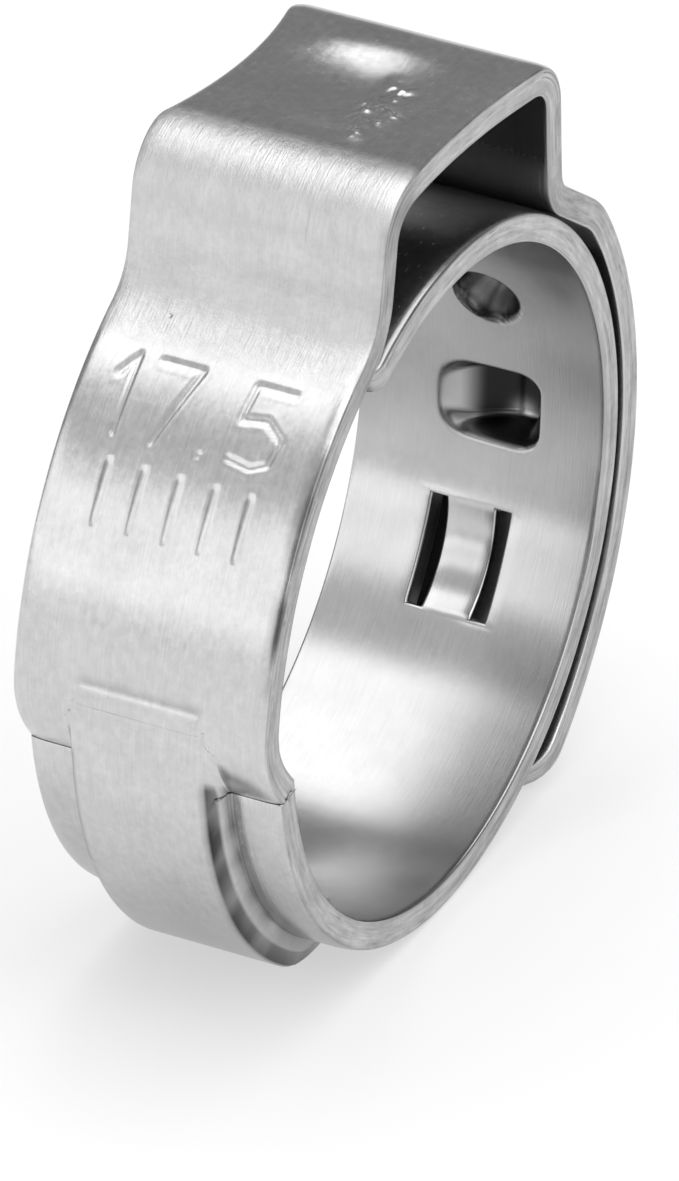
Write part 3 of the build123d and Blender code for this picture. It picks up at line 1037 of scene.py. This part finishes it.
    def drawn_hook(self):
        """The deep-drawn hook, which ramps up across the strip to a steep face, and its pocket."""
        sizes = self.sizes
        top, wall, pocket_width = sizes.hook_rise, sizes.hook_wall, sizes.drawn_hook_width
        depth = sizes.strip_thickness + top - wall - sizes.hook_fillet
        width = pocket_width + 2 * wall
        length = sizes.drawn_hook_length + 2 * wall
        outline = rounded_box(width, length, sizes.drawn_hook_nose + wall, DRAWN_TAIL_RADIUS)
        ramp_foot = -width / 2 * top / (top + sizes.strip_thickness)
        opening = rounded_box(
            pocket_width, sizes.drawn_hook_length, sizes.drawn_hook_nose, DRAWN_OPENING_TAIL_RADIUS
        )
        start, end = (share * sizes.pocket_round for share in DRAWN_POCKET_RIM)
        shade_start, shade_end = (share * sizes.pocket_round for share in DRAWN_SHADE_RIM)

        def form(x, y):
            ramp = min(max(1 - y / ramp_foot, 0), 1)
            return top * ramp * soft_wall(outline(y, x), 0, -sizes.hook_draft)

        def sunk(x, y):
            slope = ease(y, -pocket_width / 2, DRAWN_SLOPE_END * pocket_width)
            return depth * slope * soft_wall(opening(y, DRAWN_NARROWING * x), start, end)

        # Painted shade in the pocket, deeper down the ramp and at the wall, with a painted highlight where a
        # spot is left unshaded.
        def painted_shading(x, y):
            deep = DRAWN_SHADE_LEAST + DRAWN_SHADE_SLOPE * ease(y, *DRAWN_SLOPE_FADE)
            side = DRAWN_SHADE_WALL * ease(x, *DRAWN_WALL_FADE)
            glint = 1 - math.exp(-((x / MM - GLINT_X) ** 2 + (y / MM - GLINT_Y) ** 2) / GLINT_SIZE)
            return max(deep, side) * glint * soft_wall(opening(y, DRAWN_NARROWING * x), shade_start, shade_end)

        middle = self.line.run_at(sizes.drawn_hook_angle)
        room = DRAWN_HOOK_ROOM
        block = self.block(middle - room, middle + room, -room, room)
        self.relief(block, OUTER, POCKET_STEP, lambda run, across: form(run - middle, across))
        self.pocket(block, (middle, 0.0), sunk, painted_shading)

    def marks(self):
        """The plain stamped number and the row of stamped strokes on the marked side."""
        sizes, line = self.sizes, self.line
        number, ticks = line.run_at(sizes.mark_angle), line.run_at(sizes.tick_angle)
        strokes = []
        for foot, height, shares in ((number, sizes.mark_height, NUMBER), (ticks, sizes.tick_height, TICKS)):
            for x0, y0, x1, y1 in shares:
                strokes.append((x0 * height, foot + y0 * height, x1 * height, foot + y1 * height))
        top = number + sizes.mark_height
        block = self.block(ticks - MARK_ROOM, top + MARK_ROOM, -MARK_REACH, MARK_REACH)

        def stamp(run, across):
            away = stroke_distance(across, run, strokes) / (sizes.mark_width / 2)
            sunk = (1 - away * away) ** 2 if away < 1 else 0.0
            return sizes.mark_depth * (STAMP_LIP_HEIGHT * bell(away, STAMP_LIP_PLACE, STAMP_LIP_WIDTH) - sunk)

        self.relief(block, OUTER, MARK_STEP, stamp)

    def wrinkle(self):
        """The torn wrinkle that the press left in the ear's pan."""
        middle = self.ear_middle
        strokes = [millimetres(*stroke) for stroke in WRINKLE]
        block = self.block(middle + WRINKLE_ALONG[0], middle + WRINKLE_ALONG[1], *WRINKLE_ACROSS)

        def crumple(run, across):
            spot = Vector((run / MM * TEAR_CELLS, across / MM * TEAR_CELLS, TEAR_SEED))
            torn = bell(stroke_distance(run - middle, across, strokes), 0, WRINKLE_WIDTH)
            torn *= 1 + TEAR_HEIGHT * noise.noise(spot) + TEAR_FINE_HEIGHT * noise.noise(spot * TEAR_FINER)
            swell = bell((run - middle) / MM, *SWELL_ALONG) * bell(across / MM, *SWELL_ACROSS)
            edge = ease(across, *WRINKLE_LOW_FADE) * (1 - ease(across, *WRINKLE_HIGH_FADE))
            return self.sizes.wrinkle_height * (torn + SWELL_HEIGHT * swell) * edge

        self.relief(block, OUTER, WRINKLE_STEP, crumple)

    def slits(self):
        """The slits on both sides of the bridge's strap."""
        sizes = self.sizes
        middle = self.line.run_at(sizes.bridge_angle)
        half = sizes.bridge_length / 2
        strap = sizes.bridge_width / 2
        for side in (-1, 1):
            edges = sorted((side * strap, side * (strap + sizes.bridge_slit)))
            self.absent.update(self.cells(self.block(middle - half, middle + half, *edges)))

    def narrow_tongue(self):
        """Leaves only the tongue ahead of the shoulders."""
        last = self.nearest_run(self.line.run_at(self.sizes.shoulder_angle))
        low = self.nearest_across(-self.half_tongue)
        high = self.nearest_across(self.half_tongue)
        for first, end in ((0, low), (high, len(self.acrosses) - 1)):
            self.absent.update(self.cells((0, last, first, end)))

    # The whole

    def lay_cells(self):
        """The plain cells of both faces, with the points that finer neighbours put on their sides."""
        for (i, j), side in itertools.product(self.cells_left(), (OUTER, BORE)):
            if (i, j) in self.covered[side]:
                continue
            loop = [self.corner(i, j, side), *self.between.get((i, j, "across", side), [])]
            loop += [self.corner(i, j + 1, side), *self.between.get((i, j + 1, "run", side), [])]
            loop.append(self.corner(i + 1, j + 1, side))
            loop += reversed(self.between.get((i + 1, j, "across", side), []))
            loop.append(self.corner(i + 1, j, side))
            loop += reversed(self.between.get((i, j, "run", side), []))
            self.add_face(loop, side)

    def is_open(self, i, j):
        """Whether there is no cell here."""
        outside = not (0 <= i < len(self.runs) - 1 and 0 <= j < len(self.acrosses) - 1)
        return outside or (i, j) in self.absent

    def wall_points(self, i, j):
        """The points down a sheared wall at one grid crossing, with the shear's faint ridges."""
        key = (i, j, "wall")
        if key not in self.corners:
            outer = self.points[self.corner(i, j, OUTER)]
            bore = self.points[self.corner(i, j, BORE)]
            rim = j in (0, len(self.acrosses) - 1)
            out = math.copysign(1, self.acrosses[j]) if rim else 0
            rows = []
            for share, proud in SHEAR_RIDGES:
                spot = outer.lerp(bore, share)
                cells = self.runs[i] / MM * SHEAR_CELLS, share * SHEAR_ROWS, self.acrosses[j] / MM
                drift = noise.noise(Vector(cells))
                spot.z += out * (proud + SHEAR_DRIFT * drift) * MM
                slid = self.acrosses[j] + SHEAR_SLANT * out * share * self.sizes.strip_thickness
                # Walls other than the strip's two long edges, such as those inside the windows and slits, get
                # painted shade.
                rows.append(self.keep_point(spot, self.runs[i], slid, 0.0 if rim else WINDOW_SHADE))
            self.corners[key] = [self.corner(i, j, OUTER), *rows, self.corner(i, j, BORE)]
        return self.corners[key]

    def raise_walls(self):
        """A wall wherever a cell has no neighbour."""
        for i, j in self.cells_left():
            sides = (
                ((i, j - 1), (i, j), (i + 1, j)),
                ((i, j + 1), (i + 1, j + 1), (i, j + 1)),
                ((i - 1, j), (i, j + 1), (i, j)),
                ((i + 1, j), (i + 1, j), (i + 1, j + 1)),
            )
            for neighbour, first, second in sides:
                if self.is_open(*neighbour):
                    a, b = self.wall_points(*first), self.wall_points(*second)
                    for k in range(len(a) - 1):
                        self.add_face([a[k], b[k], b[k + 1], a[k + 1]], SHEARED)

    def build(self):
        """Makes every point and face of the strip."""
        sizes = self.sizes
        wall = 2 * sizes.hook_wall
        self.narrow_tongue()
        self.boss()
        self.drawn_hook()
        self.marks()
        self.wrinkle()
        self.slits()
        self.window(sizes.boss_angle, sizes.boss_offset, sizes.boss_bore + wall, sizes.boss_bore + wall)
        self.window(
            sizes.drawn_hook_angle, 0.0, sizes.drawn_hook_length + wall, sizes.drawn_hook_width + wall
        )
        self.window(sizes.bridge_angle, 0.0, sizes.bridge_length + wall, sizes.bridge_width)
        self.lay_cells()
        self.raise_walls()


def upright_matrix(lean):
    """Turns the strip's own plane upright, with the ear leaning as the clamp stands."""
    return Matrix.Rotation(math.pi / 2, 4, "X") @ Matrix.Rotation(lean, 4, "Z")


def strip_mesh(sizes):
    """The mesh of the whole folded strip."""
    sheet = Sheet(sizes)
    sheet.build()
    upright = upright_matrix(sheet.line.standing_lean())
    mesh = bpy.data.meshes.new("folded_strip")
    mesh.from_pydata([upright @ point for point in sheet.points], [], sheet.faces)
    mesh.polygons.foreach_set("material_index", sheet.face_kinds)
    layer = mesh.uv_layers.new(name="strip")
    for loop in mesh.loops:
        run, across = sheet.places[loop.vertex_index]
        layer.data[loop.index].uv = (run / MM, across / MM)
    # The worked value roughens the steel; the painted shade darkens its colour.
    for name, values in (
        ("worked", [sheet.working(run) for run, _ in sheet.places]), ("painted_shade", sheet.painted_shading)
    ):
        attribute = mesh.attributes.new(name, "FLOAT", "POINT")
        attribute.data.foreach_set("value", values)
    shaped = bmesh.new()
    shaped.from_mesh(mesh)
    bmesh.ops.recalc_face_normals(shaped, faces=shaped.faces)
    for face in shaped.faces:
        face.smooth = True
    shaped.to_mesh(mesh)
    shaped.free()
    return mesh


# ---------------------------------------------------------------- materials

# Which values of the noise the cloud, the speckle and the gloss spread over
CLOUD_RANGE, SPECKLE_RANGE, GLOSS_RANGE = (0.3, 0.7), (0.3, 0.7), (0.25, 0.75)

# The cloud's darker tone as a share of the colour, the roughness that working adds, and how much of the
# relief is left where the strip is flat
CLOUD_TONE = 0.9
WORKED_ROUGHNESS = 0.15
FLAT_RELIEF = 0.15


def new_material(name):
    """An empty node material with its shader and output joined."""
    material = bpy.data.materials.new(name)
    material.use_nodes = True
    tree = material.node_tree
    tree.nodes.clear()
    output = tree.nodes.new("ShaderNodeOutputMaterial")
    shader = tree.nodes.new("ShaderNodeBsdfPrincipled")
    tree.links.new(shader.outputs["BSDF"], output.inputs["Surface"])
    return material, tree, shader


def add_node(tree, kind, inputs=(), **settings):
    """A node with its settings and its input values or links."""
    node = tree.nodes.new(kind)
    for name, value in settings.items():
        setattr(node, name, value)
    for name, value in dict(inputs).items():
        if isinstance(value, bpy.types.NodeSocket):
            tree.links.new(value, node.inputs[name])
        else:
            node.inputs[name].default_value = value
    return node


def maths(tree, operation, *values):
    """What a math node makes of some numbers or sockets."""
    return add_node(tree, "ShaderNodeMath", dict(enumerate(values)), operation=operation).outputs[0]


def noise_value(tree, place, scale, detail, roughness=0.5):
    """The value of a noise texture."""
    inputs = {"Vector": place, "Scale": scale, "Detail": detail, "Roughness": roughness}
    return add_node(tree, "ShaderNodeTexNoise", inputs).outputs["Fac"]


def stretched(tree, place, along, across, turn=0.0):
    """A place on the strip, turned and scaled along and across."""
    inputs = {"Vector": place, "Rotation": (0.0, 0.0, turn), "Scale": (along, across, 1.0)}
    return add_node(tree, "ShaderNodeMapping", inputs).outputs["Vector"]


def remapped(tree, value, start, end, low, high):
    """A value brought from one range to another."""
    inputs = {"Value": value, "From Min": start, "From Max": end, "To Min": low, "To Max": high}
    return add_node(tree, "ShaderNodeMapRange", inputs).outputs["Result"]


def mill_finish_group():
    """Node group: the mottle, rolling streaks, scratches and pits of mill-finished strip."""
    group = bpy.data.node_groups.new("mill_finish", "ShaderNodeTree")
    interface = group.interface
    interface.new_socket("Place", in_out="INPUT", socket_type="NodeSocketVector")
    for name in ("Streaks", "Mottle"):
        interface.new_socket(name, in_out="INPUT", socket_type="NodeSocketFloat").default_value = 0.5
    for name in ("Cloud", "Height"):
        interface.new_socket(name, in_out="OUTPUT", socket_type="NodeSocketFloat")
    inside = group.nodes.new("NodeGroupInput").outputs
    outside = group.nodes.new("NodeGroupOutput").inputs
    place = inside["Place"]
    rolled = stretched(group, place, along=0.35, across=9.0)
    streaks = noise_value(group, rolled, scale=2.2, detail=6.0, roughness=0.65)
    grain = noise_value(group, place, scale=3.6, detail=6.0, roughness=0.68)
    cloud = noise_value(group, place, scale=0.6, detail=3.0)
    streaked = maths(group, "MULTIPLY", streaks, inside["Streaks"])
    height = maths(group, "MULTIPLY_ADD", grain, inside["Mottle"], streaked)
    slanted = stretched(group, place, along=0.3, across=14.0, turn=0.9)
    hairs = noise_value(group, slanted, scale=1.7, detail=1.0)
    scratches = remapped(group, hairs, start=0.74, end=0.82, low=0.0, high=0.2)
    spots = add_node(group, "ShaderNodeTexVoronoi", {"Vector": place, "Scale": 0.42})
    pits = remapped(group, spots.outputs["Distance"], start=0.016, end=0.034, low=0.6, high=0.0)
    wear_and_edge_shade = maths(group, "SUBTRACT", height, maths(group, "ADD", scratches, pits))
    group.links.new(cloud, outside["Cloud"])
    group.links.new(wear_and_edge_shade, outside["Height"])
    return group


def steel_material(group, name, colour, roughness, spread, streaks, mottle, depth, contrast):
    """One finish of the strip's steel."""
    material, tree, shader = new_material(name)
    place = add_node(tree, "ShaderNodeUVMap", uv_map="strip").outputs["UV"]
    inputs = {"Place": place, "Streaks": streaks, "Mottle": mottle}
    finish = add_node(tree, "ShaderNodeGroup", inputs, node_tree=group).outputs
    height = finish["Height"]
    worked = add_node(tree, "ShaderNodeAttribute", attribute_name="worked").outputs["Fac"]
    painted_shade = add_node(tree, "ShaderNodeAttribute", attribute_name="painted_shade").outputs["Fac"]
    ramp = add_node(tree, "ShaderNodeValToRGB", {"Fac": finish["Cloud"]})
    tones = [value * CLOUD_TONE for value in colour], colour
    for stop, position, tone in zip(ramp.color_ramp.elements, CLOUD_RANGE, tones):
        stop.position, stop.color = position, (*tone, 1.0)
    speckle = remapped(tree, height, *SPECKLE_RANGE, 1 - contrast, 1 + contrast)
    # The painted shade from the mesh darkens the colour, along with the speckle.
    tone = maths(tree, "MULTIPLY", maths(tree, "SUBTRACT", 1.0, painted_shade), speckle)
    inputs = {0: ramp.outputs["Color"], "Scale": tone}
    shaded = add_node(tree, "ShaderNodeVectorMath", inputs, operation="SCALE")
    rough = remapped(tree, height, *GLOSS_RANGE, roughness - spread, roughness + spread)
    rougher = maths(tree, "MULTIPLY_ADD", worked, WORKED_ROUGHNESS, rough)
    strength = maths(tree, "MULTIPLY_ADD", worked, 1 - FLAT_RELIEF, FLAT_RELIEF)
    inputs = {"Height": height, "Strength": strength, "Distance": depth * MM}
    bump = add_node(tree, "ShaderNodeBump", inputs)
    tree.links.new(shaded.outputs["Vector"], shader.inputs["Base Color"])
    tree.links.new(rougher, shader.inputs["Roughness"])
    tree.links.new(bump.outputs["Normal"], shader.inputs["Normal"])
    shader.inputs["Metallic"].default_value = 1.0
    return material


def strip_materials(finish):
    """The outer face, the bore side and the sheared edges, in the order of their numbers."""
    group = mill_finish_group()
    # Name, colour, roughness and its spread, share of streaks and of mottle, depth of the relief in
    # millimetres, and contrast of the speckle
    finishes = (
        ("mill_finish_face", finish.steel, finish.face_roughness, 0.05, 0.4, 0.6, 0.042, 0.14),
        ("mill_finish_bore", finish.bore_steel, finish.bore_roughness, 0.04, 0.5, 0.3, 0.018, 0.08),
        ("sheared_edge", finish.sheared_steel, finish.edge_roughness, 0.06, 0.8, 0.2, 0.072, 0.5),
    )
    return [steel_material(group, *values) for values in finishes]


# ---------------------------------------------------------------- operators

# Edges sharper than this are rounded, in this many steps
SHARP_ANGLE = math.radians(50)
EDGE_SEGMENTS = 3


class CLAMP_OT_folded_strip(bpy.types.Operator):
    """Folds the strip, with its ear, groove, hooks and windows"""

    bl_idname = "ear_clamp.folded_strip"
    bl_label = "Folded Strip"

    def execute(self, context):
        mesh = strip_mesh(context.scene.clamp_sizes)
        for material in strip_materials(context.scene.clamp_finish):
            mesh.materials.append(material)
        strip = bpy.data.objects.new("folded_strip", mesh)
        context.scene.collection.objects.link(strip)
        bevel = strip.modifiers.new("edge_round", "BEVEL")
        bevel.width = context.scene.clamp_sizes.edge_round
        bevel.segments = EDGE_SEGMENTS
        bevel.limit_method = "ANGLE"
        bevel.angle_limit = SHARP_ANGLE
        bevel.use_clamp_overlap = False
        bevel.loop_slide = True
        weighted = strip.modifiers.new("face_weighted", "WEIGHTED_NORMAL")
        weighted.keep_sharp = False
        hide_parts(CAD_NODE)
        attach(strip, "root")
        return {"FINISHED"}


def floor_material(finish):
    """A white floor that keeps the clamp's shadow."""
    material, tree, shader = new_material("pale_floor")
    grain = add_node(tree, "ShaderNodeTexNoise", {"Scale": 900.0, "Detail": 3.0})
    bump = add_node(tree, "ShaderNodeBump", {"Height": grain.outputs["Fac"], "Distance": 0.02 * MM})
    tree.links.new(bump.outputs["Normal"], shader.inputs["Normal"])
    shader.inputs["Base Color"].default_value = (*finish.floor, 1.0)
    shader.inputs["Roughness"].default_value = 0.85
    path = add_node(tree, "ShaderNodeLightPath").outputs
    shown = maths(tree, "MAXIMUM", path["Is Camera Ray"], path["Is Glossy Ray"])
    shown = maths(tree, "MAXIMUM", shown, path["Is Transmission Ray"])
    share = maths(tree, "MULTIPLY", shown, finish.floor_glow)
    white = add_node(tree, "ShaderNodeEmission", {"Strength": 1.0})
    inputs = {0: share, 1: shader.outputs["BSDF"], 2: white.outputs["Emission"]}
    mix = add_node(tree, "ShaderNodeMixShader", inputs)
    output = next(node for node in tree.nodes if node.type == "OUTPUT_MATERIAL")
    tree.links.new(mix.outputs["Shader"], output.inputs["Surface"])
    return material


# The floor's width and the camera's farthest view in metres, and its frame's height in millimetres
FLOOR_WIDTH, VIEW_DEPTH, FRAME_HEIGHT = 3.0, 10.0, 36.0

# Soft lights: name, place, width and height in metres, and brightness
SOFT_BOXES = (
    ("left_soft_box", (-0.54, 0.31, 0.215), (0.9, 0.37), 1.0),
    ("low_soft_box", (-0.60, 0.34, 0.09), (0.9, 0.12), 0.5),
    ("top_soft_box", (0.06, 0.22, 0.55), (0.62, 0.36), 1.5),
    ("fill_soft_box", (-0.75, 0.45, 0.85), (1.3, 0.9), 0.35),
    ("front_soft_box", (-0.30, -0.75, 0.55), (1.0, 0.8), 1.2),
    ("floor_light", (0.1, -0.25, 1.1), (1.4, 1.0), 2.0),
)


def soft_box(name, place, size, brightness):
    """A rectangular soft light that faces the clamp, this many times as bright as plain white."""
    light = bpy.data.lights.new(name, "AREA")
    light.shape = "RECTANGLE"
    light.size, light.size_y = size
    light.energy = brightness * math.pi * size[0] * size[1]
    lamp = bpy.data.objects.new(name, light)
    lamp.location = place
    lamp.rotation_euler = (-Vector(place)).to_track_quat("-Z", "Y").to_euler()
    bpy.context.scene.collection.objects.link(lamp)


class CLAMP_OT_stage(bpy.types.Operator):
    """Makes the pale floor, the soft lights, the room and the camera"""

    bl_idname = "ear_clamp.stage"
    bl_label = "Stage"

    def execute(self, context):
        scene = context.scene
        finish = scene.clamp_finish
        bpy.ops.mesh.primitive_plane_add(size=FLOOR_WIDTH, location=(0, 0, BOX_LOW.z))
        floor = context.object
        floor.name = "pale_floor"
        floor.data.materials.append(floor_material(finish))
        world = bpy.data.worlds.new("room")
        world.use_nodes = True
        world.node_tree.nodes["Background"].inputs["Color"].default_value = (*finish.room, 1.0)
        scene.world = world
        for light in SOFT_BOXES:
            soft_box(*light)
        self.add_camera(scene)
        scene.view_settings.view_transform = "Standard"
        return {"FINISHED"}

    def add_camera(self, scene):
        """The camera, from its angle, height, roll and aim."""
        view = scene.clamp_view
        camera = bpy.data.cameras.new("camera")
        camera.lens = view.lens
        camera.sensor_fit = "VERTICAL"
        camera.sensor_height = FRAME_HEIGHT
        camera.clip_end = VIEW_DEPTH
        stand = bpy.data.objects.new("camera", camera)
        back = Vector((
            math.sin(view.azimuth) * math.cos(view.elevation),
            -math.cos(view.azimuth) * math.cos(view.elevation),
            math.sin(view.elevation),
        ))
        turned = back.to_track_quat("Z", "Y").to_matrix().to_4x4() @ Matrix.Rotation(-view.roll, 4, "Z")
        stand.matrix_world = Matrix.Translation(Vector(view.aim) + back * view.distance) @ turned
        scene.collection.objects.link(stand)
        scene.camera = stand


class CLAMP_PT_sidebar(bpy.types.Panel):
    """Lists the clamp's operators and sizes"""

    bl_idname = "CLAMP_PT_sidebar"
    bl_label = "Ear Hose Clamp"
    bl_space_type = "VIEW_3D"
    bl_region_type = "UI"
    bl_category = "Ear Clamp"

    def draw(self, context):
        column = self.layout.column()
        for operator in OPERATORS:
            column.operator(operator.bl_idname)
        for group in (context.scene.clamp_sizes, context.scene.clamp_finish, context.scene.clamp_view):
            for name in group.__annotations__:
                column.prop(group, name)


GROUPS = {"clamp_sizes": ClampSizes, "clamp_finish": ClampFinish, "clamp_view": ViewSizes}
OPERATORS = (CLAMP_OT_folded_strip, CLAMP_OT_stage)


def register():
    for name, group in GROUPS.items():
        bpy.utils.register_class(group)
        setattr(bpy.types.Scene, name, bpy.props.PointerProperty(type=group))
    for operator in OPERATORS:
        bpy.utils.register_class(operator)
    bpy.utils.register_class(CLAMP_PT_sidebar)


def unregister():
    bpy.utils.unregister_class(CLAMP_PT_sidebar)
    for operator in reversed(OPERATORS):
        bpy.utils.unregister_class(operator)
    for name, group in reversed(GROUPS.items()):
        delattr(bpy.types.Scene, name)
        bpy.utils.unregister_class(group)


def main():
    register()
    bpy.ops.ear_clamp.folded_strip()
    bpy.ops.ear_clamp.stage()


if __name__ == "__main__":
    main()
